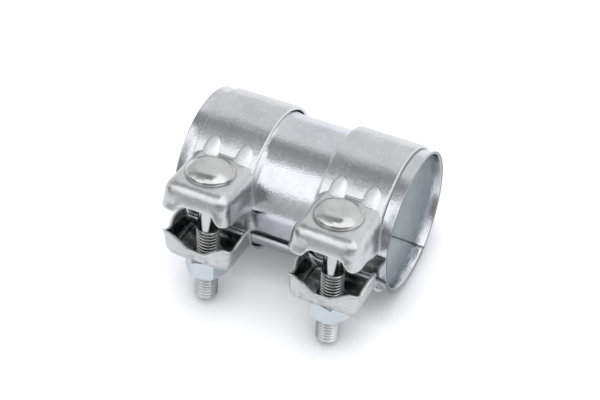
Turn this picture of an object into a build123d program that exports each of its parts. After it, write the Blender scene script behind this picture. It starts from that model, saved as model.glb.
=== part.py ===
from build123d import *
from math import asin, atan2, cos, degrees, hypot, radians, sin, sqrt
import os

# Two-bolt exhaust pipe connector, millimetres.
# A rolled, lapped sleeve joins two pipe ends, and a one-piece band at each end squeezes it with one bolt.
# The pipe axis is X and the origin is on it, midway between the sleeve's mouths.
# The clamp is drawn with its bolts upright and its ears towards -Y, then tipped as it rests on a bench.

# Sleeve
sleeve_length = 95.0
pipe_bore_radius = 27.3
sleeve_sheet = 1.2
lap_clearance = 0.15
neck_radius = 28.7
neck_lap_clearance = 1.05
neck_half_length = 14.5
shoulder_length = 3.5
flare_length = 3.8
flare_rise = 0.85
# Angles round the pipe axis run from the back, +Y, over the top
crease_angle = 176.5
outer_edge_angle = 206.0
inner_edge_angle = 304.0
neck_ramp_angle = 201.0
end_ramp_angle = 189.0

# Bands
band_pitch = 56.0
band_width = 28.0
band_sheet = 1.5
band_slack = 0.05
ear_seat_height = 20.2
ear_draft = 4.0
upper_ear_width = 31.0
upper_ear_reach = 52.5
upper_corner_radius = 6.0
upper_shoulder_radius = 5.2
upper_lip_height = 7.6
upper_root_height = 2.6
upper_arch_height = 11.8
upper_arch_half_width = 9.8
upper_crown_half_width = 6.6
upper_arch_shift = 1.8
upper_arch_softness = 2.2
lower_ear_width = 32.2
lower_ear_reach = 48.2
lower_corner_radius = 4.2
lower_shoulder_radius = 5.0
lower_horn_height = 6.0
lower_lip_height = 8.7
lower_root_height = 7.4
lower_wall_height = 6.0
lower_arch_height = 12.2
lower_arch_half_width = 12.4
lower_crown_half_width = 3.4
lower_arch_shift = 0.0
lower_arch_softness = 4.0
arch_lead = 0.4
fold_radius = 2.0
rib_pitch = 14.4
rib_shift = 0.7
rib_toe_clearance = 0.7
rib_toe_rise = 0.9
rib_heel_angle = 125.0
rib_back_radius = 4.6
rib_ridge_radius = 16.0

# Bolts
bolt_distance = 36.3
thread_radius = 4.95
shank_radius = 4.5
bolt_length = 62.3
thread_length = 35.0
tip_chamfer = 1.2
head_radius = 10.0
head_rim = 1.0
head_height = 4.9
neck_across_flats = 9.8
neck_depth = 4.5
neck_hole_clearance = 0.25
bolt_hole_radius = 5.5

# Nuts
nut_across_flats = 16.0
nut_height = 8.0
nut_chamfer_angle = 30.0
thread_clearance = 0.05
nut_countersink = 0.6
left_nut_turn = 14.0
right_nut_turn = 52.5

# Worked-out sizes
end_radius = pipe_bore_radius + 2 * sleeve_sheet + lap_clearance
band_inner_radius = end_radius + band_slack
band_outer_radius = band_inner_radius + band_sheet
tip_height = ear_seat_height - bolt_length
tip_radius = thread_radius - tip_chamfer
rest_arm = bolt_distance - tip_radius
rest_tilt = degrees(atan2(-tip_height, rest_arm) - asin(band_outer_radius / hypot(rest_arm, tip_height)))
full_turn = 360.0


def polar(radius, angle):
    """Point of the YZ plane at an angle measured from +Y towards +Z."""
    return (radius * cos(radians(angle)), radius * sin(radians(angle)))


def arc(radius, start, end):
    """Arc round the pipe axis from one angle to another."""
    return ThreePointArc(polar(radius, start), polar(radius, (start + end) / 2), polar(radius, end))


def closed_face(*curves):
    """Face bounded by curves that meet end to end."""
    return make_face(Wire([edge for curve in curves for edge in curve.edges()]))


def sheet_section(x, radius, clearance, ramp_angle):
    """Cross-section of the rolled sheet: main turn, ramp at the crease, inner lap under the outer edge."""
    inside = radius - sleeve_sheet
    lap = inside - clearance
    lap_inside = lap - sleeve_sheet
    crease = crease_angle + full_turn
    outline = [
        arc(radius, outer_edge_angle, crease),
        Line(polar(radius, crease), polar(lap, ramp_angle)),
        arc(lap, ramp_angle, inner_edge_angle),
        Line(polar(lap, inner_edge_angle), polar(lap_inside, inner_edge_angle)),
        arc(lap_inside, inner_edge_angle, ramp_angle),
        Line(polar(lap_inside, ramp_angle), polar(inside, crease)),
        arc(inside, crease, outer_edge_angle),
        Line(polar(inside, outer_edge_angle), polar(radius, outer_edge_angle)),
    ]
    return Plane.YZ.offset(x) * closed_face(*outline)


def neck_section(x):
    return sheet_section(x, neck_radius, neck_lap_clearance, neck_ramp_angle)


def end_section(x, rise=0.0):
    return sheet_section(x, end_radius + rise, lap_clearance, end_ramp_angle)


def make_sleeve():
    """Rolled sleeve: a neck in the middle, a shoulder up to each seat, and a flared rim at each mouth."""
    half = sleeve_length / 2
    seat_start = neck_half_length + shoulder_length
    seat_end = half - flare_length
    neck = extrude(neck_section(-neck_half_length), 2 * neck_half_length, dir=(1, 0, 0))
    shoulder = loft([neck_section(neck_half_length), end_section(seat_start)], ruled=True)
    seat = extrude(end_section(seat_start), seat_end - seat_start, dir=(1, 0, 0))
    steps = [0.0, 0.35, 0.7, 1.0]
    flare = loft([end_section(seat_end + s * flare_length, flare_rise * s * s) for s in steps])
    end = shoulder + seat + flare
    return neck + end + mirror(end, about=Plane.YZ)


def ear_block(reach, half_width, seat, corner, shoulder):
    """Solid drafted block of one ear, round at its front corners and shoulders, from the split up to its seat."""
    outline = Rectangle(2 * half_width, reach, align=(Align.CENTER, Align.MIN))
    outline = Pos(0, -reach, 0) * outline
    outline = fillet(outline.vertices().group_by(Axis.Y)[0], corner)
    block = extrude(outline, seat, taper=ear_draft)
    rim = [e for e in block.edges().group_by(Axis.Z)[-1] if e.center().Y < -reach / 4]
    return fillet(rim, shoulder)


def ear_blocks(reach, width, corner, shoulder):
    """Outside and hollow of one ear, apart by the sheet's thickness."""
    outside = ear_block(reach, width / 2, ear_seat_height, corner, shoulder)
    hollow = ear_block(
        reach - band_sheet,
        width / 2 - band_sheet,
        ear_seat_height - band_sheet,
        corner - band_sheet,
        shoulder - band_sheet,
    )
    return outside, hollow


def split_gap(upper_reach, lower_reach):
    """Gap between the ears seen from the side, as wide as the ears and bounded by their side walls' edges."""
    far = upper_reach + band_sheet
    root = -band_inner_radius * cos(radians(15))
    upper = Spline(
        (root + 8, upper_root_height - 0.6),
        (root, upper_root_height),
        (-bolt_distance, upper_lip_height - 2.6),
        (-bolt_distance - 7, upper_lip_height - 0.4),
        (-far, upper_lip_height),
    )
    lower = Spline(
        (-far, -lower_horn_height + 1.0),
        (-lower_reach + 1, -lower_horn_height),
        (-lower_reach + 5.5, -lower_lip_height),
        (-bolt_distance, -lower_wall_height),
        (root, -lower_root_height),
        (root + 8, -lower_root_height - 0.4),
    )
    face = closed_face(upper, Line(upper @ 1, lower @ 0), lower, Line(lower @ 1, upper @ 0))
    return extrude(Plane.YZ * face, band_width, both=True)


def lip_arch(lip, crown, half_width, crown_half_width, shift, softness, reach, corner):
    """Prism that scallops the middle of an ear's front wall, from the split up to the arch's crown."""
    start = lip - arch_lead
    far = half_width + 0.7 * softness
    outline = Polyline(
        (-far, 0),
        (-far, start),
        (-half_width, start),
        (-crown_half_width, crown),
        (crown_half_width, crown),
        (half_width, start),
        (far, start),
        (far, 0),
        close=True,
    )
    face = make_face(outline)
    bends = [v for v in face.vertices() if abs(v.X) < half_width + 0.1]
    return Pos(shift, -reach + corner, 0) * extrude(Plane.XZ * fillet(bends, softness), 2 * corner, both=True)


def root_ribs():
    """Two round-backed gussets pressed across the fold between the ring and an ear's seat, clear of the head."""
    toe = (-bolt_distance + head_radius + rib_toe_clearance, ear_seat_height + rib_toe_rise)
    heel = polar(band_outer_radius, rib_heel_angle)
    run = heel[0] - toe[0]
    rise = heel[1] - toe[1]
    chord = hypot(run, rise)
    drop = sqrt(rib_ridge_radius ** 2 - (chord / 2) ** 2)
    middle_y = (heel[0] + toe[0]) / 2 + drop * rise / chord
    middle_z = (heel[1] + toe[1]) / 2 - drop * run / chord
    back = Pos(0, middle_y, middle_z) * Rot(0, 90, 0) * Torus(rib_ridge_radius - rib_back_radius, rib_back_radius)
    outline = Polyline(
        (toe[0], ear_seat_height - band_sheet / 2),
        (toe[0], heel[1]),
        (heel[0] + 2, heel[1]),
        polar(band_inner_radius, rib_heel_angle - 4),
        polar(band_inner_radius, rib_heel_angle),
        close=True,
    )
    rib = back & extrude(Plane.YZ * make_face(outline), rib_back_radius, both=True)
    return Pos(rib_shift - rib_pitch / 2, 0, 0) * rib + Pos(rib_shift + rib_pitch / 2, 0, 0) * rib


def root_fold():
    """Inside bend between the ring and an ear's seat."""
    centre_height = ear_seat_height + fold_radius
    centre_y = -sqrt((band_outer_radius + fold_radius) ** 2 - centre_height ** 2)
    touch = band_outer_radius / (band_outer_radius + fold_radius)
    on_seat = (centre_y, ear_seat_height)
    on_ring = (centre_y * touch, centre_height * touch)
    corner = (-sqrt(band_inner_radius ** 2 - ear_seat_height ** 2), ear_seat_height)
    bend = RadiusArc(on_seat, on_ring, fold_radius)
    face = closed_face(bend, Line(on_ring, corner), Line(corner, on_seat))
    return extrude(Plane.YZ * face, band_width / 2 - upper_shoulder_radius, both=True)


def make_band(x):
    """One-piece band: a ring with two drawn ears, open between them, holed for the bolt."""
    along_x = Rot(0, 90, 0)
    upper_outside, upper_hollow = ear_blocks(
        upper_ear_reach, upper_ear_width, upper_corner_radius, upper_shoulder_radius
    )
    lower_outside, lower_hollow = ear_blocks(
        lower_ear_reach, lower_ear_width, lower_corner_radius, lower_shoulder_radius
    )
    upper_arch = lip_arch(
        upper_lip_height,
        upper_arch_height,
        upper_arch_half_width,
        upper_crown_half_width,
        upper_arch_shift,
        upper_arch_softness,
        upper_ear_reach,
        upper_corner_radius,
    )
    lower_arch = lip_arch(
        lower_horn_height,
        lower_arch_height,
        lower_arch_half_width,
        lower_crown_half_width,
        lower_arch_shift,
        lower_arch_softness,
        lower_ear_reach,
        lower_corner_radius,
    )
    flip = Plane.XY
    root_detail = root_ribs() + root_fold()
    band = along_x * Cylinder(band_outer_radius, band_width)
    band += upper_outside + mirror(lower_outside, about=flip)
    band += root_detail + mirror(root_detail, about=flip)
    band -= along_x * Cylinder(band_inner_radius, 2 * band_width)
    band -= upper_hollow + mirror(lower_hollow, about=flip)
    band -= split_gap(upper_ear_reach, lower_ear_reach)
    band -= upper_arch + mirror(lower_arch, about=flip)
    neck_hole = neck_across_flats + 2 * neck_hole_clearance
    band -= Pos(0, -bolt_distance, ear_seat_height) * Box(neck_hole, neck_hole, 4 * band_sheet)
    band -= Pos(0, -bolt_distance, -ear_seat_height) * Cylinder(bolt_hole_radius, 4 * band_sheet)
    return Pos(x, 0, 0) * band


def make_bolt(x):
    """Saucer-headed bolt: domed head, square neck, plain shank and a threaded end with a chamfered tip."""
    dome = head_height - head_rim
    dome_radius = (head_radius ** 2 + dome ** 2) / (2 * dome)
    thread_top = thread_length + tip_height - ear_seat_height
    tip = tip_height - ear_seat_height
    run_out = thread_radius - shank_radius
    crown = (0, head_height)
    rim = (head_radius, head_rim)
    half_angle = asin(head_radius / dome_radius) / 2
    on_dome = (dome_radius * sin(half_angle), head_height - dome_radius * (1 - cos(half_angle)))
    top = ThreePointArc(crown, on_dome, rim)
    rest = Polyline(
        rim,
        (head_radius, 0),
        (shank_radius, 0),
        (shank_radius, thread_top + run_out),
        (thread_radius, thread_top),
        (thread_radius, tip + tip_chamfer),
        (tip_radius, tip),
        (0, tip),
        crown,
    )
    bolt = revolve(Plane.XZ * closed_face(top, rest), Axis.Z)
    neck = Pos(0, 0, -neck_depth / 2) * Box(neck_across_flats, neck_across_flats, neck_depth)
    align = (Align.CENTER, Align.CENTER, Align.MAX)
    taper = Cone(neck_across_flats * 0.62, neck_across_flats * 0.75, neck_depth, align=align)
    return Pos(x, -bolt_distance, ear_seat_height) * (bolt + (neck & taper))


def make_nut(x, turn):
    """Hexagon nut, chamfered at both faces and countersunk, seated under the lower ear."""
    corner_radius = nut_across_flats / sqrt(3)
    hexagon = extrude(RegularPolygon(corner_radius, 6), nut_height)
    flat = nut_across_flats / 2
    drop = (corner_radius - flat) * sin(radians(nut_chamfer_angle)) / cos(radians(nut_chamfer_angle))
    profile = Polyline(
        (0, 0),
        (flat, 0),
        (corner_radius, drop),
        (corner_radius, nut_height - drop),
        (flat, nut_height),
        (0, nut_height),
        close=True,
    )
    envelope = revolve(Plane.XZ * make_face(profile), Axis.Z)
    bore = thread_radius + thread_clearance
    nut = (hexagon & envelope) - Pos(0, 0, nut_height / 2) * Cylinder(bore, 2 * nut_height)
    mouths = nut.edges().filter_by(GeomType.CIRCLE).filter_by(lambda e: abs(e.radius - bore) < 0.01)
    nut = chamfer(mouths, nut_countersink)
    return Pos(x, -bolt_distance, -ear_seat_height - nut_height) * Rot(0, 0, turn) * nut


left = -band_pitch / 2
right = band_pitch / 2
nodes = {
    "sleeve": make_sleeve(),
    "left_band": make_band(left),
    "right_band": make_band(right),
    "left_bolt": make_bolt(left),
    "right_bolt": make_bolt(right),
    "left_nut": make_nut(left, left_nut_turn),
    "right_nut": make_nut(right, right_nut_turn),
}

os.makedirs("parts", exist_ok=True)
as_it_rests = Rot(-rest_tilt, 0, 0)
for name, shape in nodes.items():
    export_step(as_it_rests * shape, f"parts/{name}.step")
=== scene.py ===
from math import asin, atan2, cos, hypot, pi, radians, sin, tan

import bpy
import numpy as np
from mathutils import Matrix, Vector, noise


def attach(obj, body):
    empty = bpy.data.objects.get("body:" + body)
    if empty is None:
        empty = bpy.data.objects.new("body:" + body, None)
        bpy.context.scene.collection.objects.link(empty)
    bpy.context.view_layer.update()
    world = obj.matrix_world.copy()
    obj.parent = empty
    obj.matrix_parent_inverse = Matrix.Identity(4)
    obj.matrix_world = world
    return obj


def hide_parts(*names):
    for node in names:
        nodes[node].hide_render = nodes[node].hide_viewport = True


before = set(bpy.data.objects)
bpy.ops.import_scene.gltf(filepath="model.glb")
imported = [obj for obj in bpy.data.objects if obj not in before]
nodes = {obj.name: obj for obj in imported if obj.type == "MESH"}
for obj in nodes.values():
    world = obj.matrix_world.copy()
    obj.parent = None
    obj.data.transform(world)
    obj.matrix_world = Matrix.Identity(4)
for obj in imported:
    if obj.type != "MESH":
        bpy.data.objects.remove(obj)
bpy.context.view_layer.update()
mm = 0.001

# Driving sizes shared with the solids, millimetres and degrees.
# The clamp is drawn upright with its pipe axis along X and its ears towards -Y, then tipped as it rests.
# Angles run round the pipe axis from +Y over the top.
sleeve_length = 95.0
pipe_bore_radius = 27.3
sleeve_sheet = 1.2
lap_clearance = 0.15
neck_radius = 28.7
neck_lap_clearance = 1.05
neck_half_length = 14.5
shoulder_length = 3.5
flare_length = 3.8
flare_rise = 0.85
crease_angle = 176.5
outer_edge_angle = 206.0
inner_edge_angle = 304.0
neck_ramp_angle = 201.0
end_ramp_angle = 189.0
band_pitch = 56.0
band_width = 28.0
band_sheet = 1.5
band_slack = 0.05
ear_seat_height = 20.2
upper_lip_height = 7.6
upper_arch_height = 11.8
upper_arch_shift = 1.8
lower_horn_height = 6.0
lower_arch_height = 12.2
lower_crown_half_width = 3.4
lower_arch_half_width = 12.4
rib_pitch = 14.4
rib_shift = 0.7
bolt_distance = 36.3
thread_radius = 4.95
thread_length = 35.0
shank_radius = 4.5
bolt_length = 62.3
tip_chamfer = 1.2
head_radius = 10.0
head_rim = 1.0
head_height = 4.9
neck_across_flats = 9.8
neck_depth = 4.5

# Worked-out sizes
sleeve_half_length = sleeve_length / 2
shoulder_end = neck_half_length + shoulder_length
seat_end = sleeve_half_length - flare_length
end_radius = pipe_bore_radius + 2 * sleeve_sheet + lap_clearance
band_inner_radius = end_radius + band_slack
band_outer_radius = band_inner_radius + band_sheet
band_centre = band_pitch / 2
band_edge = band_centre + band_width / 2
tip_height = ear_seat_height - bolt_length
tip_radius = thread_radius - tip_chamfer
thread_top = tip_height + thread_length
rest_arm = bolt_distance - tip_radius
rest_tilt = atan2(-tip_height, rest_arm) - asin(band_outer_radius / hypot(rest_arm, tip_height))
to_rest = Matrix.Rotation(-rest_tilt, 4, "X")
floor_height = -band_outer_radius
sides = (("left", -band_centre), ("right", band_centre))


# Camera
def aim_camera():
    """Camera at the photograph's angle, set in the upright clamp's frame and tipped with it."""
    yaw = radians(22.54)
    rise = radians(36.20)
    roll = radians(4.63)
    place = Vector((205.49, -504.17, 392.16))
    back = Vector((sin(yaw) * cos(rise), -cos(yaw) * cos(rise), sin(rise)))
    right = (-back).cross(Vector((0, 0, 1))).normalized()
    up = right.cross(-back)
    side = cos(roll) * right + sin(roll) * up
    top = -sin(roll) * right + cos(roll) * up
    turn = Matrix((side, top, back)).transposed().to_4x4()
    data = bpy.data.cameras.new("photo_camera")
    data.sensor_width = 36.0
    data.lens = 96.71
    data.clip_start = 0.01
    data.clip_end = 20
    camera = bpy.data.objects.new("photo_camera", data)
    bpy.context.scene.collection.objects.link(camera)
    camera.matrix_world = to_rest @ Matrix.Translation(place * mm) @ turn
    bpy.context.scene.camera = camera


aim_camera()


# Node helpers
class Graph:
    """A material's or world's node tree with short ways to add to it."""

    def __init__(self, owner):
        owner.use_nodes = True
        self.tree = owner.node_tree
        self.tree.nodes.clear()

    def node(self, kind, **settings):
        made = self.tree.nodes.new(kind)
        for name, value in settings.items():
            setattr(made, name, value)
        return made

    def feed(self, socket, value):
        """Sets a socket to a number or colour, or joins it to another socket."""
        if isinstance(value, bpy.types.NodeSocket):
            self.tree.links.new(value, socket)
        else:
            socket.default_value = (*value, 1.0) if isinstance(value, tuple) else value

    def math(self, operation, a, b=0.0):
        made = self.node("ShaderNodeMath", operation=operation)
        self.feed(made.inputs[0], a)
        self.feed(made.inputs[1], b)
        return made.outputs[0]

    def times(self, a, b):
        return self.math("MULTIPLY", a, b)

    def plus(self, a, b):
        return self.math("ADD", a, b)

    def less(self, a, b):
        return self.math("SUBTRACT", a, b)

    def ramp(self, factor, stops):
        """Grey that follows stops of (place, brightness)."""
        made = self.node("ShaderNodeValToRGB")
        elements = made.color_ramp.elements
        while len(elements) < len(stops):
            elements.new(0.5)
        for element, (place, grey) in zip(elements, stops):
            element.position = place
            element.color = (grey, grey, grey, 1.0)
        self.feed(made.inputs[0], factor)
        return made.outputs[0]

    def step(self, factor, low, high):
        """Straight rise from 0 at low to 1 at high."""
        return self.ramp(factor, [(low, 0.0), (high, 1.0)])

    def fall(self, factor, low, high):
        """Straight fall from 1 at low to 0 at high."""
        return self.ramp(factor, [(low, 1.0), (high, 0.0)])

    def noise(self, place, scale, detail, rough=0.5, distortion=0.0):
        made = self.node("ShaderNodeTexNoise")
        self.feed(made.inputs["Vector"], place)
        made.inputs["Scale"].default_value = scale
        made.inputs["Detail"].default_value = detail
        made.inputs["Roughness"].default_value = rough
        made.inputs["Distortion"].default_value = distortion
        return made.outputs["Fac"]

    def stretched(self, place, scale):
        made = self.node("ShaderNodeMapping")
        self.feed(made.inputs["Vector"], place)
        made.inputs["Scale"].default_value = scale
        return made.outputs[0]

    def mix(self, factor, a, b):
        """Colour a, turning into b as the factor rises to 1."""
        made = self.node("ShaderNodeMix", data_type="RGBA")
        self.feed(made.inputs[0], factor)
        self.feed(made.inputs[6], a)
        self.feed(made.inputs[7], b)
        return made.outputs[2]

    def painted(self, name):
        """The number that a mesh keeps for each point under a name."""
        return self.node("ShaderNodeAttribute", attribute_name=name).outputs["Fac"]

    def glow(self, kind, colour, strength=1.0):
        """An emission or background shader."""
        made = self.node(kind)
        self.feed(made.inputs["Color"], colour)
        self.feed(made.inputs["Strength"], strength)
        return made.outputs[0]

    def blend(self, factor, a, b):
        """Shader a, turning into b as the factor rises to 1."""
        made = self.node("ShaderNodeMixShader")
        for socket, value in zip(made.inputs, (factor, a, b)):
            self.feed(socket, value)
        return made.outputs[0]


# Finishes: colours, features to a metre, ranges of the noise, and shares of roughness, metal and relief
pit_colour = (0.16, 0.165, 0.16)
# Pale colour of painted highlights on the bands' edges and of wear at a bolt's end
highlight_and_wear_colour = (0.92, 0.93, 0.94)
scuff_colour = (0.90, 0.91, 0.92)
grain_per_cloud = 9
specks_per_cloud = 24
cloud_range = (0.3, 0.7)
grain_range = (0.25, 0.75)
pit_range = (0.22, 0.34)
scuff_range = (0.56, 0.68)
cloud_share = 0.6
cloud_height = 1.6
grain_height = 0.6
dent_scale = 330.0
scuff_scale = 620.0
scuff_stretch = (1.0, 0.45, 0.45)
peel_scale = 1150.0
pit_strength = 0.25
scuff_strength = 0.5
inner_roughness = 0.13
inner_metal_loss = 0.50
highlight_and_wear_roughness = 0.30
pressed_roughness = 0.08
scuff_roughness = 0.12
streak_roughness = 0.14
streak_height = 0.8
recess_calm = 0.85


def zinc(name, dark, pale, rough, clouds, bump, peel=0.0, dent=0.0, streak=None, painted_shade_and_dirt=None, inner=None):
    """Zinc-coated steel, cloudy and grainy with small pits.

    The grain runs from dark to pale and through the two values of rough. Clouds is their number to a metre
    and bump the relief's height in millimetres. Peel and dent are shares of finer and wider relief, and
    dented steel is scuffed too. Streak is the scale of the drawing lines, and inner the two colours of the
    inside.
    The colour for painted shade and dirt darkens the points marked for them, and points marked edge are
    paled by a painted highlight on the bands and by wear at a bolt's end.
    """
    made = bpy.data.materials.new(name)
    g = Graph(made)
    out = g.node("ShaderNodeOutputMaterial")
    shader = g.node("ShaderNodeBsdfPrincipled")
    g.feed(out.inputs[0], shader.outputs[0])
    place = g.node("ShaderNodeTexCoord").outputs["Object"]
    cloud = g.noise(place, clouds, detail=5.0, rough=0.6, distortion=0.4)
    grain = g.noise(place, clouds * grain_per_cloud, detail=4.0, rough=0.7)
    speck = g.noise(place, clouds * specks_per_cloud, detail=2.0, rough=0.6)
    tone = g.step(cloud, *cloud_range)
    fine = g.step(grain, *grain_range)
    pit = g.fall(speck, *pit_range)
    mottle = g.plus(g.times(tone, cloud_share), g.times(fine, 1 - cloud_share))
    colour = g.mix(g.times(pit, pit_strength), g.mix(mottle, dark, pale), pit_colour)
    low, high = rough
    roughness = g.plus(g.times(mottle, high - low), low)
    height = g.plus(g.times(grain, grain_height), g.times(cloud, cloud_height))
    metal = 1.0
    unscuffed = []
    # The inside's paler, duller, less metallic finish; behind the sleeve's ears it is a painted lit patch.
    if inner:
        within = g.painted("inner")
        unscuffed.append(within)
        colour = g.mix(within, colour, g.mix(tone, *inner))
        roughness = g.plus(roughness, g.times(within, inner_roughness))
        metal = g.less(1.0, g.times(within, inner_metal_loss))
    # Painted shade and dirt darken the marked points, and a painted highlight pales the bands' marked
    # edges; on a bolt's end the paling is wear.
    if painted_shade_and_dirt:
        depth = g.painted("painted_shade_and_dirt")
        unscuffed.append(depth)
        worn = g.painted("edge")
        colour = g.mix(worn, g.mix(depth, colour, painted_shade_and_dirt), highlight_and_wear_colour)
        roughness = g.plus(roughness, g.times(worn, highlight_and_wear_roughness))
        roughness = g.plus(roughness, g.times(g.painted("dull"), pressed_roughness))
    if dent:
        dents = g.noise(place, dent_scale, detail=2.0, distortion=0.6)
        height = g.plus(height, g.times(dents, dent))
        turned = g.stretched(place, scuff_stretch)
        scuff = g.noise(turned, scuff_scale, detail=4.0, rough=0.75, distortion=1.2)
        scuff = g.step(scuff, *scuff_range)
        for part in unscuffed:
            scuff = g.times(scuff, g.less(1.0, part))
        colour = g.mix(g.times(scuff, scuff_strength), colour, scuff_colour)
        roughness = g.plus(roughness, g.times(scuff, scuff_roughness))
    if peel:
        crackle = g.noise(place, peel_scale, detail=2.0, rough=0.55, distortion=0.8)
        height = g.plus(height, g.times(crackle, peel))
    if streak:
        lines = g.noise(g.stretched(place, streak), 1.0, detail=4.0, rough=0.65)
        roughness = g.plus(roughness, g.times(g.less(lines, 0.5), streak_roughness))
        height = g.plus(height, g.times(lines, streak_height))
    if painted_shade_and_dirt:
        height = g.times(height, g.less(1.0, g.times(depth, recess_calm)))
    relief = g.node("ShaderNodeBump")
    relief.inputs["Strength"].default_value = 1.0
    relief.inputs["Distance"].default_value = bump * mm
    g.feed(relief.inputs["Height"], height)
    g.feed(shader.inputs["Base Color"], colour)
    g.feed(shader.inputs["Roughness"], roughness)
    g.feed(shader.inputs["Metallic"], metal)
    g.feed(shader.inputs["Normal"], relief.outputs[0])
    return made


# The sleeve's nearly black colour is painted shadow at the lap's seam, on the cut rims and beside the
# bands' edges.
sleeve_zinc = zinc(
    "sleeve_zinc", dark=(0.58, 0.60, 0.63), pale=(0.79, 0.81, 0.84), rough=(0.05, 0.11),
    clouds=60.0, bump=0.03, peel=2.0, dent=0.7, streak=(200, 700, 700),
    painted_shade_and_dirt=(0.04, 0.044, 0.04), inner=((0.71, 0.755, 0.765), (0.81, 0.85, 0.86)),
)
# The band's greenish dark colour is painted shade in the ears' hollows and round the heads, and the
# smudges' dirt.
band_zinc = zinc(
    "band_zinc", dark=(0.56, 0.57, 0.58), pale=(0.76, 0.77, 0.78), rough=(0.17, 0.26),
    clouds=90.0, bump=0.03, peel=0.9, dent=2.6, painted_shade_and_dirt=(0.34, 0.37, 0.35),
)
# The bolt's dark colour is painted shade and dirt in the thread's grooves.
bolt_zinc = zinc(
    "bolt_zinc", dark=(0.55, 0.555, 0.55), pale=(0.76, 0.77, 0.765), rough=(0.09, 0.17),
    clouds=160.0, bump=0.02, peel=1.6, painted_shade_and_dirt=(0.30, 0.305, 0.31),
)
nut_zinc = zinc(
    "nut_zinc", dark=(0.60, 0.66, 0.70), pale=(0.72, 0.78, 0.82), rough=(0.20, 0.30),
    clouds=160.0, bump=0.012,
)


# Mesh helpers
def smoothstep(low, high, value):
    """Smooth rise from 0 at low to 1 at high."""
    t = np.clip((value - low) / (high - low), 0, 1)
    return t * t * (3 - 2 * t)


def fade(low, high, value):
    """Smooth fall from 1 at low to 0 at high."""
    return 1 - smoothstep(low, high, value)


seed_shift = (17.3, 5.1, 9.7)


def rough_field(points, scale, seed, depth=2):
    """Smooth uneven heights at points, with features about scale millimetres wide."""
    shift = Vector([seed * step for step in seed_shift])
    return np.array([noise.fractal(Vector(p) / scale + shift, 1.0, 2.0, depth) for p in points])


def polar(radius, angle):
    """Point (y, z) of a section at an angle."""
    return np.array([radius * cos(radians(angle)), radius * sin(radians(angle))])


def paint(mesh, name, values):
    """Keeps a number for each point, which the finishes read by its name."""
    made = mesh.attributes.new(name, "FLOAT", "POINT")
    made.data.foreach_set("value", values.astype(np.float32))


def add(name, verts, faces):
    """A piece from points of the upright clamp in millimetres, tipped to rest."""
    mesh = bpy.data.meshes.new(name)
    mesh.from_pydata([tuple(v) for v in verts], [], faces)
    mesh.transform(to_rest @ Matrix.Scale(mm, 4))
    piece = bpy.data.objects.new(name, mesh)
    bpy.context.scene.collection.objects.link(piece)
    return piece


def dress(piece, material, body, node):
    """Gives a piece its finish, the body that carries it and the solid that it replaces."""
    for polygon in piece.data.polygons:
        polygon.use_smooth = True
    piece.data.materials.clear()
    piece.data.materials.append(material)
    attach(piece, body)
    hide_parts(node)


# Sleeve. The flare starts a little before the solid's, and the shoulder is softer.
visible_flare_length = 6.3
flare_start = sleeve_half_length - visible_flare_length
shoulder_blend = (neck_half_length - 2.6, shoulder_end - 1.0)
cut_rounding = 0.35
cut_rings = 5
station_count = 150
steps_past_band = (-0.05, 0.1, 0.3, 0.45)
main_turn_points = 208
ramp_points = 16
inner_turn_points = 68
bend_passes = 3
edge_heights = (0.8, 0.0, -0.8)
edge_points = len(edge_heights)
inside_pale = (seat_end - 9.5, seat_end + 1.0)
# Where the outer face behind the ears takes the inside's paler, duller finish as a painted lit patch
behind_ears_start = (160, 176)
behind_ears_end = (200, 206)
behind_ears_along = (neck_half_length - 4, neck_half_length - 1)
behind_ears_strength = 0.65
# Painted shadow behind the lap's inner edge, painted shade on the cut rims and a painted shadow line beside
# each band's edge
seam_shadow_angles = (inner_edge_angle - 0.2, inner_edge_angle + 1.3)
cut_along = (sleeve_half_length - 0.20, sleeve_half_length - 0.02)
cut_least = 0.45
band_shadow_line = 0.16
band_shadow_half_width = 0.2
band_shadow_strength = 0.9


def sheet_chain(radius, clearance, ramp_angle):
    """Middle line of the rolled sheet's section from outer to inner edge, and the outward normals."""
    outer = radius - sleeve_sheet / 2
    inner = outer - sleeve_sheet - clearance
    start = polar(outer, crease_angle)
    stop = polar(inner, ramp_angle)
    chain = [polar(outer, a) for a in np.linspace(outer_edge_angle, crease_angle + 360, main_turn_points)]
    chain += [start + (stop - start) * s for s in np.linspace(0, 1, ramp_points + 2)[1:-1]]
    chain += [polar(inner, a) for a in np.linspace(ramp_angle, inner_edge_angle, inner_turn_points)]
    chain = np.array(chain)
    for _ in range(bend_passes):
        chain[1:-1] = chain[1:-1] * 0.5 + (chain[:-2] + chain[2:]) * 0.25
    along = np.gradient(chain, axis=0)
    along /= np.linalg.norm(along, axis=1)[:, None]
    return chain, np.stack([along[:, 1], -along[:, 0]], axis=1)


def section_at(x):
    """Radius, lap clearance and ramp angle of the sleeve's section at a distance from its middle."""
    s = float(smoothstep(*shoulder_blend, abs(x)))
    radius = neck_radius + (end_radius - neck_radius) * s
    clearance = neck_lap_clearance + (lap_clearance - neck_lap_clearance) * s
    ramp = neck_ramp_angle + (end_ramp_angle - neck_ramp_angle) * s
    flare = max(0.0, (abs(x) - flare_start) / (sleeve_half_length - flare_start))
    return radius + flare_rise * flare * flare, clearance, ramp


def sleeve_rows():
    """Places of the sections along the sleeve and half the sheet's thickness there, less at the mouths."""
    half = sleeve_sheet / 2
    stations = list(np.linspace(-sleeve_half_length + 1.0, sleeve_half_length - 1.0, station_count))
    stations += [sign * (band_edge + step) for sign in (-1, 1) for step in steps_past_band]
    rims = []
    for a in np.linspace(0, pi / 2, cut_rings):
        rims.append((sleeve_half_length - cut_rounding * (1 - sin(a)), half - cut_rounding * (1 - cos(a))))
    return [(-x, h) for x, h in reversed(rims)] + [(x, half) for x in sorted(stations)] + rims


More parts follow.
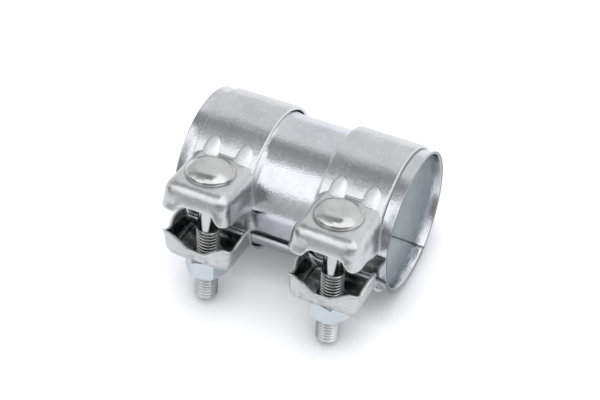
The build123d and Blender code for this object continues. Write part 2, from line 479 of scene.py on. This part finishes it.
def sheet_ring(x, half):
    """Closed section of the sheet: its outer face, inner edge, inner face and outer edge."""
    chain, normal = sheet_chain(*section_at(x))
    outer = [p + n * half for p, n in zip(chain[2:-2], normal[2:-2])]
    inner = [p - n * half for p, n in zip(chain[2:-2], normal[2:-2])]
    inner_edge = [chain[-1] + normal[-1] * (half * f) for f in edge_heights]
    outer_edge = [chain[0] + normal[0] * (half * f) for f in reversed(edge_heights)]
    return [(x, y, z) for y, z in outer + inner_edge + inner[::-1] + outer_edge]


def sheet_faces(rows, count):
    """Faces between the rings, and those across the sheet's thickness at both mouths."""
    span = count // 2 - edge_points
    faces = []
    for row in range(rows - 1):
        for k in range(count):
            a = row * count + k
            b = row * count + (k + 1) % count
            faces.append((a, b, b + count, a + count))
    across = [(k, k + 1, 2 * span + 1 - k, 2 * span + 2 - k) for k in range(span - 1)]
    across.append(tuple(range(span - 1, span + edge_points + 1)))
    across.append((*range(2 * span + edge_points - 1, count), 0))
    last = (rows - 1) * count
    faces += [face[::-1] for face in across]
    faces += [tuple(last + k for k in face) for face in across]
    return faces


def paint_sleeve(mesh, verts, count):
    """Marks the inside, a painted lit patch behind the ears, and painted shade along the lap's seam, on the
    cut rims and beside the bands' edges.
    """
    span = count // 2 - edge_points
    x, y, z = np.array(verts).T
    x = np.abs(x)
    angle = np.degrees(np.arctan2(z, y)) % 360
    spot = np.arange(len(verts)) % count
    inside = spot > span
    depth = fade(*inside_pale, x)
    # Painted lit patch on the outer face behind the ears, in the inside's paler, duller finish
    painted_lit_patch = smoothstep(*behind_ears_start, angle) * fade(*behind_ears_end, angle)
    painted_lit_patch *= smoothstep(*behind_ears_along, x) * depth
    paint(mesh, "inner", np.where(inside, depth, behind_ears_strength * painted_lit_patch))
    # Painted shadow just behind the lap's inner edge, painted shade on the cut rims, darkest at the front
    # and back, and a painted shadow line outside each band's edge
    under_main_turn = spot > 2 * span + edge_points + 1 - main_turn_points
    seam = under_main_turn & (angle > seam_shadow_angles[0]) & (angle < seam_shadow_angles[1])
    cut = smoothstep(*cut_along, x) * (cut_least + (1 - cut_least) * np.abs(np.cos(np.radians(angle))))
    painted_band_edge_shadow = np.abs(x - band_edge - band_shadow_line) < band_shadow_half_width
    paint(mesh, "painted_shade_and_dirt", np.maximum(seam, np.maximum(cut, band_shadow_strength * painted_band_edge_shadow * ~inside)))


def make_sleeve():
    rows = sleeve_rows()
    rings = [sheet_ring(x, half) for x, half in rows]
    count = len(rings[0])
    verts = [point for ring in rings for point in ring]
    piece = add("sleeve_sheet_metal", verts, sheet_faces(len(rows), count))
    dress(piece, sleeve_zinc, "clamp", "sleeve")
    paint_sleeve(piece.data, verts, count)


make_sleeve()

# Bands. Sizes are in millimetres, and facings, ranges and strengths are shares.
# A pair is where a form or mark starts to rise or fade, and where it ends.
# Across is from a band's middle, forward from the sleeve's axis and height from the split between the ears.
voxel = 0.435
smoothing_passes = 4
ring_pull = (0.12, 0.3)
ring_half_width = 14.6
ear_forward = (26, 34)
ear_gap = 1.0


def read_points(mesh, kind):
    """The places or normals of a mesh's points, a row for each."""
    values = np.empty(len(mesh.vertices) * 3)
    mesh.vertices.foreach_get(kind, values)
    return values.reshape(-1, 3)


def remeshed(name):
    """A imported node's copy, upright, remeshed finely and smoothed, as a new piece."""
    mesh = nodes[name].data.copy()
    mesh.transform(to_rest.inverted())
    mesh.materials.clear()
    piece = bpy.data.objects.new(f"{name}_steel", mesh)
    bpy.context.scene.collection.objects.link(piece)
    remesh = piece.modifiers.new("remesh", "REMESH")
    remesh.mode = "VOXEL"
    remesh.voxel_size = voxel * mm
    smooth = piece.modifiers.new("smooth", "SMOOTH")
    smooth.factor = 0.5
    smooth.iterations = smoothing_passes
    graph = bpy.context.evaluated_depsgraph_get()
    fine = bpy.data.meshes.new_from_object(piece.evaluated_get(graph))
    piece.modifiers.clear()
    piece.data = fine
    return piece


def true_ring(co, centre):
    """Draws the points beside the band's round faces onto them, and gives each point's radius before."""
    r = np.hypot(co[:, 1], co[:, 2])
    on_ring = np.abs(co[:, 0] - centre) < ring_half_width
    for true in (band_inner_radius, band_outer_radius):
        pull = fade(*ring_pull, np.abs(r - true))
        co[:, 1:] *= (1 + pull * on_ring * (true - r) / r)[:, None]
    return r


# Bends between the ears' plates and walls
fold_across = (9.0, 11.0)
fold_forward = (42.0, 44.5)
fold_height = (13.5, 16.0)
fold_reach = (25.0, 29.0)
fold_strength = 0.5
fold_passes = 24
fold_least = 0.002


def soften_folds(mesh, co, centre):
    """Eases the bends between the ears' plates and walls to the wide soft ones of pressed sheet."""
    across = np.abs(co[:, 0] - centre)
    forward = -co[:, 1]
    height = np.abs(co[:, 2])
    weight = np.maximum(smoothstep(*fold_across, across), smoothstep(*fold_forward, forward))
    weight *= smoothstep(*fold_height, height) * smoothstep(*fold_reach, forward) * fold_strength
    near = np.flatnonzero(weight > fold_least)
    edges = np.empty(len(mesh.edges) * 2, dtype=np.int32)
    mesh.edges.foreach_get("vertices", edges)
    edges = edges.reshape(-1, 2)
    chosen = np.zeros(len(co), dtype=bool)
    chosen[near] = True
    a, b = edges[chosen[edges].any(axis=1)].T
    neighbours = np.bincount(a, minlength=len(co)) + np.bincount(b, minlength=len(co))
    neighbours = np.maximum(neighbours, 1)
    for _ in range(fold_passes):
        for axis in range(3):
            values = co[:, axis]
            mean = (np.bincount(a, values[b], len(co)) + np.bincount(b, values[a], len(co))) / neighbours
            co[near, axis] += weight[near] * (mean[near] - values[near])


# Painted shade in the hollows inside the ears
hollow_forward = (25.5, 27.5)
hollow_heart = (0.0, -38.0, 9.0)
hollow_facing = (0.05, 0.30)
hollow_clearance = 2.0


def painted_hollow_shade(local, normal):
    """How far each point faces the hollow inside its ear, from 0 to 1, which sets the shade painted there.
    """
    share = np.zeros(len(local))
    for sign in (1, -1):
        to_heart = np.array(hollow_heart) * (1, 1, sign) - local
        facing = (to_heart * normal).sum(1) / np.linalg.norm(to_heart, axis=1)
        zone = smoothstep(*hollow_forward, -local[:, 1]) * (sign * local[:, 2] > hollow_clearance)
        share = np.maximum(share, zone * smoothstep(*hollow_facing, facing))
    return share


# Lips of the ears
ear_middle = 37
ear_stretch = 1.1
upper_arch_across = (5.6, 10.8)
upper_arch_forward = (43, 48)
upper_roll_height = (0.0, 4.5)
upper_roll = 0.55
corner_drop = 1.5
corner_across = (10.5, 13.5)
corner_forward = (38, 46)
bright_height = (0.8, 3.6)
bright_rise = (1.0, 3.6)
lower_arch_across = (lower_crown_half_width, lower_arch_half_width)
lower_arch_forward = (40, 44)
lower_roll_height = (0.3, 3.2)
lower_roll = 0.6
horn_roll = 0.45
horn_across = (9.5, 13.5)
horn_forward = (41, 46)


def roll_lips(co, x, y, z, ear):
    """Rolls the ears' lips outwards and draws out the lower ear's front corners as horns.

    Gives how strongly a highlight is painted on the arched part of the upper lip.
    """
    out = np.stack([x, (y + ear_middle) * ear_stretch, np.zeros(len(co))], axis=1)
    out /= np.linalg.norm(out, axis=1)[:, None] + 1e-9
    upper = z > ear_gap
    rise = fade(*upper_arch_across, np.abs(x - upper_arch_shift)) * smoothstep(*upper_arch_forward, -y)
    rise *= upper_arch_height - upper_lip_height
    above_lip = z - upper_lip_height - rise
    roll = fade(*upper_roll_height, above_lip) * upper * ear
    co += out * (upper_roll * roll)[:, None]
    co[:, 2] -= corner_drop * roll * smoothstep(*corner_across, x) * smoothstep(*corner_forward, -y)
    rise_below = fade(*lower_arch_across, np.abs(x)) * smoothstep(*lower_arch_forward, -y)
    rise_below *= lower_arch_height - lower_horn_height
    roll = fade(*lower_roll_height, -z - lower_horn_height - rise_below) * (z < -ear_gap) * ear
    horn = smoothstep(*horn_across, np.abs(x)) * smoothstep(*horn_forward, -y)
    co += out * (roll * (lower_roll + horn_roll * horn))[:, None]
    return fade(*bright_height, above_lip) * upper * smoothstep(*bright_rise, rise)


# Press marks, with depths in millimetres
front_forward = (44, 47)
sway_size = 9.0
sway_all_over = 0.05
sway_on_ears = 0.12
sway_below = 0.10
chip_seed = 3
chip_size = 3.4
chips_all_over = 0.012
chips_on_ears = 0.03
chips_in_front = 0.05
chips_below = 0.07
crumple_seed = 9
crumple_size = 2.6
crumple_depth = 0.22
smudge_seed = 11
smudge_size = 2.1
smudge_range = (0.10, 0.42)
smudge_height = (12.5, 16.0)
smudge_across = (8.0, 12.0)
smudge_middle = -1.5


def press_marks(co, local, ear, seed):
    """Dents both faces of the sheet alike, most at the lower ear's front, and gives how smudged that is."""
    x, y, z = local.T
    front = smoothstep(*front_forward, -y)
    below = (z < 0) * front
    sway = np.stack([rough_field(local, sway_size, seed + k) for k in range(3)], axis=1)
    chip = np.stack([rough_field(local, chip_size, seed + chip_seed + k) for k in range(3)], axis=1)
    co += sway * (sway_all_over + sway_on_ears * ear + sway_below * below)[:, None]
    chipped = chips_all_over + chips_on_ears * ear + chips_in_front * front + chips_below * below
    co += chip * chipped[:, None]
    co[:, 1] += crumple_depth * rough_field(local, crumple_size, seed + crumple_seed, 3) * below
    smudge = smoothstep(*smudge_range, rough_field(local, smudge_size, seed + smudge_seed, 3)) * below
    return smudge * smoothstep(*smudge_height, -z) * fade(*smudge_across, np.abs(x - smudge_middle))


# Welding mark, placed by its angle round the pipe axis
weld_angle = 82
weld_radius = (1.6, 3.2)
weld_skin = 0.3
weld_depth = 0.05
ripple_height = 0.11
ripple_rate = 2.6
ripple_slant = 0.25
ripple_bend = 0.6
ripple_bend_rate = 1.3


def weld_marks(co, x, y, z, r):
    """Presses the small rippled mark of a welding tip into the crown."""
    arc = (np.degrees(np.arctan2(z, y)) - weld_angle) * radians(1) * band_outer_radius
    dimple = fade(*weld_radius, np.hypot(x, arc)) * (r > band_outer_radius - weld_skin)
    waves = np.sin(ripple_rate * (arc + ripple_slant * x) + ripple_bend * np.sin(ripple_bend_rate * x))
    sunk = weld_depth * dimple - ripple_height * waves * dimple
    co[:, 1:] *= (1 - sunk / band_outer_radius)[:, None]


# Painted highlights on the edges, with strengths from 0 to 1
rim_across = (13.55, 13.8)
rim_skin = 0.05
rib_across = (3.2, 4.4)
rib_root_forward = (18, 20)
rib_end_forward = (25.6, 26.2)
rib_rise = (0.15, 0.7)
rib_height = 20.5
lip_facing_up = (0.40, 0.75)
lip_forward = (27, 30)
lip_lowest = -14.0
rim_strength = 0.8
lower_lip_strength = 0.85


def painted_edge_highlights(x, y, z, r, facing_up):
    """How strongly a highlight is painted on the sheet at its cut rims, along the ribs and on the lower
    ears' lips.
    """
    rim = smoothstep(*rim_across, np.abs(x)) * (r < band_outer_radius + rim_skin)
    beside_rib = np.abs(np.abs(x - rib_shift) - rib_pitch / 2)
    rib = fade(*rib_across, beside_rib) * smoothstep(*rib_root_forward, -y) * fade(*rib_end_forward, -y)
    rib *= smoothstep(*rib_rise, r - band_outer_radius) * (np.abs(z) > rib_height)
    lip = smoothstep(*lip_facing_up, facing_up) * smoothstep(*lip_forward, -y)
    lip *= (z < -ear_gap) * (z > lip_lowest)
    return np.maximum(np.maximum(rim_strength * rim, lower_lip_strength * lip), rib)


# Shadow round the head, and how strong the marks are
head_shadow = (0.1, 0.5)
head_shadow_gap = 0.15
plate_depth = 0.8
upper_lip_strength = 0.7
smudge_strength = 0.6


def make_band(side, centre, seed):
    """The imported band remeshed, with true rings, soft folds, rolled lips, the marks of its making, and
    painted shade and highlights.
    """
    name = f"{side}_band"
    piece = remeshed(name)
    mesh = piece.data
    co = read_points(mesh, "co") / mm
    r = true_ring(co, centre)
    soften_folds(mesh, co, centre)
    normal = read_points(mesh, "normal")
    local = co - (centre, 0, 0)
    x, y, z = local.T
    ear = smoothstep(*ear_forward, -y)
    hollow = painted_hollow_shade(local, normal)
    bright_lip = roll_lips(co, x, y, z, ear)
    smudge = press_marks(co, local, ear, seed)
    weld_marks(co, x, y, z, r)
    from_head = np.abs(np.hypot(x, y + bolt_distance) - head_radius - head_shadow_gap)
    round_head = fade(*head_shadow, from_head) * (z > ear_seat_height - plate_depth)
    # Painted highlights on the upper lip's arch, the cut rims, the ribs and the lower lips
    upper_lip = upper_lip_strength * bright_lip * (1 - hollow)
    bright = np.maximum(painted_edge_highlights(x, y, z, r, normal[:, 2]), upper_lip)
    # Painted shade in the hollows and a painted shadow round each head, with the dirt of the smudges
    dark = np.maximum(hollow, smudge_strength * np.maximum(smudge, round_head))
    mesh.vertices.foreach_set("co", (co * mm).ravel())
    mesh.transform(to_rest)
    paint(mesh, "painted_shade_and_dirt", dark)
    paint(mesh, "dull", ear * (1 - hollow))
    paint(mesh, "edge", bright)
    dress(piece, band_zinc, "clamp", name)


band_seeds = (3, 8)
for (side, centre), seed in zip(sides, band_seeds):
    make_band(side, centre, seed)

# Bolts. The head's slopes are in degrees for each millimetre from its middle, and from its shoulder.
bolt_segments = 90
head_rings = 34
head_lowering = 0.25
crown_slope = 2.3
shoulder_slope = 5.7
shoulder_start = 5.8
head_cut = 0.12
rim_drop = 0.45
rim_depth = 0.2
corner_rounding = 0.2
fillet_share = 0.9
neck_corner_share = 0.62
neck_rows = 10
neck_first_row = 0.05
neck_taper = 0.5
shank_rows = 14
shank_first_row = 0.3
thread_pitch = 1.5
thread_groove = 0.82
thread_flat = 0.12
thread_run_out = (thread_top - 1.2, thread_top + 0.9)
thread_row = 0.09
tip_slope = 0.95
tolerance = 0.01
head_dent = 0.02
head_dent_size = 1.7
groove_depth = (0.12, 0.60)
worn_below = (26, 30)
worn_groove_loss = 0.45
worn_strength = 0.5


def bolt_profile():
    """Radius and height down a bolt, from the middle of its head to the middle of its tip."""
    seat = ear_seat_height
    height = seat + head_height - head_lowering
    profile = [(0.0, height)]
    last = 0.0
    for r in np.linspace(0.5, head_radius - head_cut, head_rings):
        middle = (r + last) / 2
        slope = crown_slope * middle + shoulder_slope * max(0.0, middle - shoulder_start)
        height -= tan(radians(slope)) * (r - last)
        last = r
        profile.append((r, height))
    profile.append((head_radius, seat + head_rim - rim_drop))
    for a in np.linspace(0, 1, 4) * pi / 2:
        corner = (corner_rounding * (1 - cos(a)), corner_rounding * (1 - sin(a)))
        profile.append((head_radius - corner[0], seat + corner[1]))
    neck_end = seat - neck_depth
    shank_start = neck_end - neck_taper
    profile.append((neck_across_flats / 2 * fillet_share, seat))
    neck = np.linspace(seat - neck_first_row, neck_end, neck_rows)
    shank = np.linspace(shank_start - shank_first_row, thread_top + 1.0, shank_rows)
    profile += [(neck_across_flats / 2, z) for z in neck]
    profile.append((shank_radius, shank_start))
    profile += [(shank_radius, z) for z in shank]
    profile += [(thread_radius, z) for z in np.arange(thread_run_out[1], tip_height, -thread_row)]
    return profile + [(tip_radius, tip_height), (tip_radius * 0.5, tip_height), (0.0, tip_height)]


def groove_share(phase):
    """Depth below the thread's crest, from 0 to 1, over one turn."""
    flank = 1 - abs(2 * (phase % 1.0) - 1)
    return min(1.0, max(0.0, (flank - thread_flat) / (1 - 2 * thread_flat)))


def bolt_radius(r, z, a):
    """Radius of a bolt's surface at a height and an angle: square at the neck, grooved along the thread."""
    seat = ear_seat_height
    if seat - neck_depth - tolerance <= z < seat:
        to_flat = neck_across_flats / 2 / max(abs(cos(a)), abs(sin(a)))
        return min(to_flat, neck_across_flats * neck_corner_share)
    if z > thread_run_out[1] or r < tip_radius:
        return r
    crest = thread_radius - thread_groove * groove_share(z / thread_pitch + a / (2 * pi))
    crest += (shank_radius - crest) * float(smoothstep(*thread_run_out, z))
    return min(crest, tip_radius + (z - tip_height) * tip_slope)


def lathe(profile, count, centre):
    """Closed surface turned about a bolt's axis, with a point at each end of the axis."""
    verts = []
    for r, z in profile[1:-1]:
        for k in range(count):
            a = 2 * pi * k / count
            q = bolt_radius(r, z, a)
            verts.append((centre + q * cos(a), -bolt_distance + q * sin(a), z))
    rows = len(profile) - 2
    faces = []
    for row in range(rows - 1):
        for k in range(count):
            a = row * count + k
            b = row * count + (k + 1) % count
            faces.append((a, a + count, b + count, b))
    top = len(verts)
    verts.append((centre, -bolt_distance, profile[0][1]))
    verts.append((centre, -bolt_distance, profile[-1][1]))
    for k in range(count):
        a = (rows - 1) * count + k
        b = (rows - 1) * count + (k + 1) % count
        faces.append((top, k, (k + 1) % count))
        faces.append((top + 1, b, a))
    return np.array(verts), faces


def make_bolt(side, centre, seed):
    """A bolt with a lightly dented head, painted shade and dirt in its grooves, and a worn end."""
    verts, faces = lathe(bolt_profile(), bolt_segments, centre)
    head = verts[:, 2] > ear_seat_height + head_rim - rim_depth
    verts[head, 2] -= head_dent * (1 + rough_field(verts[head], head_dent_size, seed))
    piece = add(f"{side}_bolt_threaded", verts, faces)
    dress(piece, bolt_zinc, f"{side}_bolt", f"{side}_bolt")
    x, y, z = verts.T
    r = np.hypot(x - centre, y + bolt_distance)
    worn = smoothstep(*worn_below, -z)
    # Painted shade and dirt in the thread's grooves, less towards the worn end
    groove = smoothstep(*groove_depth, thread_radius - r) * (z < thread_run_out[1]) * (r > tip_radius)
    paint(piece.data, "painted_shade_and_dirt", groove * (1 - worn_groove_loss * worn))
    paint(piece.data, "edge", worn_strength * worn)


bolt_seeds = (21, 34)
for (side, centre), seed in zip(sides, bolt_seeds):
    make_bolt(side, centre, seed)

# Nuts
for side, _ in sides:
    nodes[f"{side}_nut"].data.materials.clear()
    nodes[f"{side}_nut"].data.materials.append(nut_zinc)

# Studio. Distances are in metres, and a strength of 1 is white.
white = (1.0, 1.0, 1.0)
lamp_place = Vector((0.12, 0.25, 1.2))
lamp_size = 1.9
lamp_power = 16.5
floor_grey = (0.65, 0.655, 0.67)
floor_seen_grey = (0.80, 0.81, 0.84)
# Grey and reach of the painted contact shadow on the floor
contact_shadow_grey = (0.16, 0.165, 0.18)
contact_shadow_reach = 0.015
floor_glow = 0.19
floor_fade = (0.16, 0.30)
floor_mirrored = 0.22
floor_size = 6.0
floor_front = -0.35
floor_gap = 0.00005
even_strength = 0.83


def make_lamp():
    data = bpy.data.lights.new("overhead_softbox", "AREA")
    data.shape = "RECTANGLE"
    data.size = lamp_size
    data.size_y = lamp_size
    data.energy = lamp_power
    lamp = bpy.data.objects.new("overhead_softbox", data)
    bpy.context.scene.collection.objects.link(lamp)
    lamp.location = lamp_place
    lamp.rotation_euler = (-lamp_place).to_track_quat("-Z", "Y").to_euler()
    lamp.visible_glossy = False


def floor_white():
    """Pale floor, which the camera sees whiter, with a painted contact shadow where the clamp is near, and
    passing into white surroundings.
    """
    made = bpy.data.materials.new("floor_white")
    g = Graph(made)
    out = g.node("ShaderNodeOutputMaterial")
    plain = g.node("ShaderNodeBsdfDiffuse")
    g.feed(plain.inputs["Color"], floor_grey)
    # Painted contact shadow: the floor the camera sees darkens where ambient occlusion finds the clamp
    # close
    painted_contact_shadow = g.node("ShaderNodeAmbientOcclusion", samples=8)
    painted_contact_shadow.inputs["Distance"].default_value = contact_shadow_reach
    seen = g.node("ShaderNodeBsdfDiffuse")
    g.feed(seen.inputs["Color"], g.mix(painted_contact_shadow.outputs["AO"], contact_shadow_grey, floor_seen_grey))
    bright = g.node("ShaderNodeAddShader")
    g.feed(bright.inputs[0], seen.outputs[0])
    g.feed(bright.inputs[1], g.glow("ShaderNodeEmission", white, floor_glow))
    reach = g.node("ShaderNodeVectorMath", operation="LENGTH")
    g.feed(reach.inputs[0], g.node("ShaderNodeTexCoord").outputs["Object"])
    away = g.step(reach.outputs["Value"], *floor_fade)
    path = g.node("ShaderNodeLightPath").outputs
    clear = g.glow("ShaderNodeEmission", white)
    fading = g.blend(g.times(away, path["Is Camera Ray"]), bright.outputs[0], clear)
    pick = g.math("MAXIMUM", path["Is Camera Ray"], g.times(path["Is Glossy Ray"], floor_mirrored))
    g.feed(out.inputs[0], g.blend(pick, plain.outputs[0], fading))
    return made


def make_floor():
    mesh = bpy.data.meshes.new("floor")
    s = floor_size
    mesh.from_pydata([(-s, floor_front, 0), (s, floor_front, 0), (s, s, 0), (-s, s, 0)], [], [(0, 1, 2, 3)])
    mesh.materials.append(floor_white())
    piece = bpy.data.objects.new("floor", mesh)
    piece.location.z = floor_height * mm - floor_gap
    bpy.context.scene.collection.objects.link(piece)


make_lamp()
make_floor()

# Grey bands of the studio that metal mirrors, as shares of a full turn about X and the brightness there.
# 0 is the back horizon, 0.25 overhead, 0.5 the front horizon and 0.75 below.
left_bands = [
    (0.0, 0.65), (0.15, 0.65), (0.185, 0.46), (0.225, 0.42), (0.25, 0.70), (0.28, 1.05), (0.32, 0.95),
    (0.375, 0.40), (0.417, 0.18), (0.46, 0.20), (0.50, 0.25), (0.556, 0.40), (0.65, 0.60), (0.98, 0.65),
]
low_bands = [
    (0.0, 0.80), (0.150, 0.82), (0.185, 0.36), (0.205, 0.31), (0.245, 0.42), (0.28, 0.62), (0.295, 1.40),
    (0.40, 1.32), (0.425, 0.60), (0.50, 0.44), (0.545, 0.60), (0.59, 0.95), (0.98, 0.84),
]
high_bands = [
    (0.0, 0.84), (0.165, 0.84), (0.185, 0.34), (0.240, 0.30), (0.262, 1.35), (0.30, 1.30), (0.34, 0.72),
    (0.38, 0.50), (0.42, 0.28), (0.49, 0.25), (0.54, 0.60), (0.60, 0.88), (0.98, 0.88),
]
front_bands = [
    (0.28, 1.30), (0.33, 1.20), (0.37, 0.95), (0.405, 0.28), (0.43, 0.22), (0.47, 0.30), (0.56, 0.40),
    (0.62, 0.85), (0.98, 0.84),
]
back_bands = [(0.0, 0.84), (0.12, 0.90), (0.145, 1.25)]
far_bands = back_bands + [(0.165, 1.20), (0.185, 0.34), (0.240, 0.30), (0.262, 1.35)] + front_bands
side_bands = back_bands + [(0.24, 1.40)] + front_bands
# Each set passes into the next over a stretch from the left, 0, to the right, 1
next_bands = (
    (low_bands, 0.15, 0.27), (high_bands, 0.40, 0.48), (far_bands, 0.53, 0.57), (side_bands, 0.585, 0.64),
)


def make_world():
    """White surroundings for the camera, grey bands for what the metal mirrors, even light for the rest."""
    world = bpy.data.worlds.new("studio")
    bpy.context.scene.world = world
    g = Graph(world)
    out = g.node("ShaderNodeOutputWorld")
    parts = g.node("ShaderNodeSeparateXYZ")
    g.feed(parts.inputs[0], g.node("ShaderNodeTexCoord").outputs["Generated"])
    x, y, z = parts.outputs
    share = g.math("FRACT", g.plus(g.math("DIVIDE", g.math("ARCTAN2", z, y), 2 * pi), 1.0))
    across = g.plus(g.times(x, 0.5), 0.5)
    bands = g.ramp(share, left_bands)
    for stops, start, stop in next_bands:
        bands = g.mix(g.step(across, start, stop), bands, g.ramp(share, stops))
    path = g.node("ShaderNodeLightPath").outputs
    even = g.glow("ShaderNodeBackground", white, even_strength)
    lit = g.blend(path["Is Glossy Ray"], even, g.glow("ShaderNodeBackground", bands))
    g.feed(out.inputs[0], g.blend(path["Is Camera Ray"], lit, g.glow("ShaderNodeBackground", white)))


make_world()
bpy.context.scene.view_settings.view_transform = "Standard"
